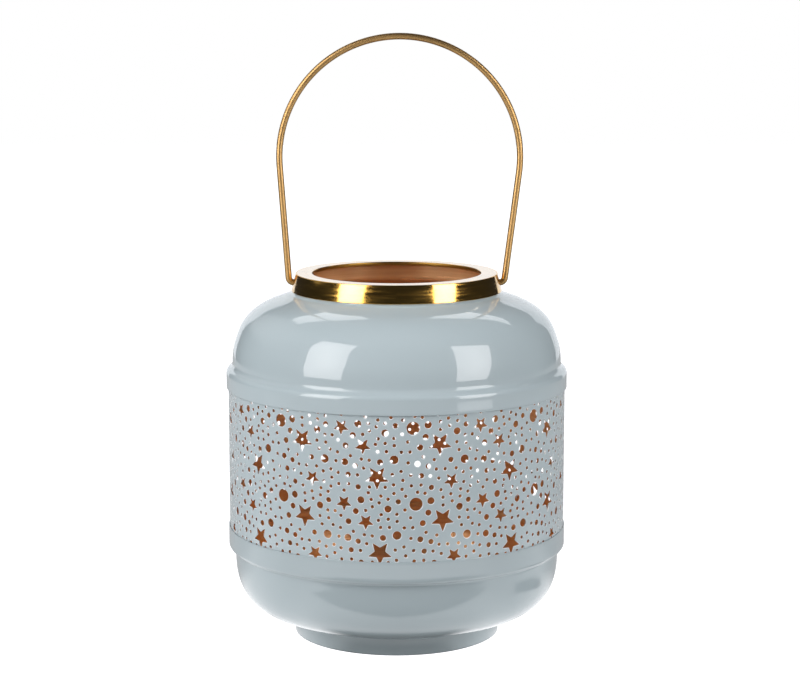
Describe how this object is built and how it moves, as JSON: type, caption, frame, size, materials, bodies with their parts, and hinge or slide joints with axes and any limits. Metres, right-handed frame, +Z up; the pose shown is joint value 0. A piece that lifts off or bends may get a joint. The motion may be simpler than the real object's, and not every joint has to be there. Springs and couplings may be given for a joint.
{
  "type": "punched tin lantern",
  "caption": "Round sheet-metal candle lantern: a star-punched band between a domed top and a rounded bowl, with a flared collar, ring foot and wire bail.",
  "frame": {"origin": "on the lantern's axis, in the plane that the foot rests on", "axes": "+Z up the lantern's axis, -Y towards the front, X along the pivot axis of the bail"},
  "size_m": [0.2, 0.2, 0.3527],
  "materials": {
    "enamel_foot": "gloss pale grey-blue enamel",
    "enamel_bowl": "gloss pale grey-blue enamel outside, copper-coloured paint inside",
    "enamel_dome": "gloss pale grey-blue enamel outside, copper-coloured paint inside",
    "enamel_band": "gloss pale grey-blue enamel outside, copper-coloured paint inside",
    "brushed_brass": "brass, brushed round and lacquered",
    "brass_wire": "drawn brass-coloured wire"
  },
  "bodies": {
    "lantern": {"foot_ring": "enamel_foot", "base_bowl": "enamel_bowl", "dome_shell": "enamel_dome", "punched_band": "enamel_band", "rim_collar": "brushed_brass"},
    "bail": {"bail_handle": "brass_wire"}
  },
  "joints": [
    {"name": "bail_pivot", "type": "hinge", "parent": "lantern", "child": "bail", "pos_m": [0, 0, 0.208], "axis": [1, 0, 0], "range_deg": [-103, 103]}
  ]
}
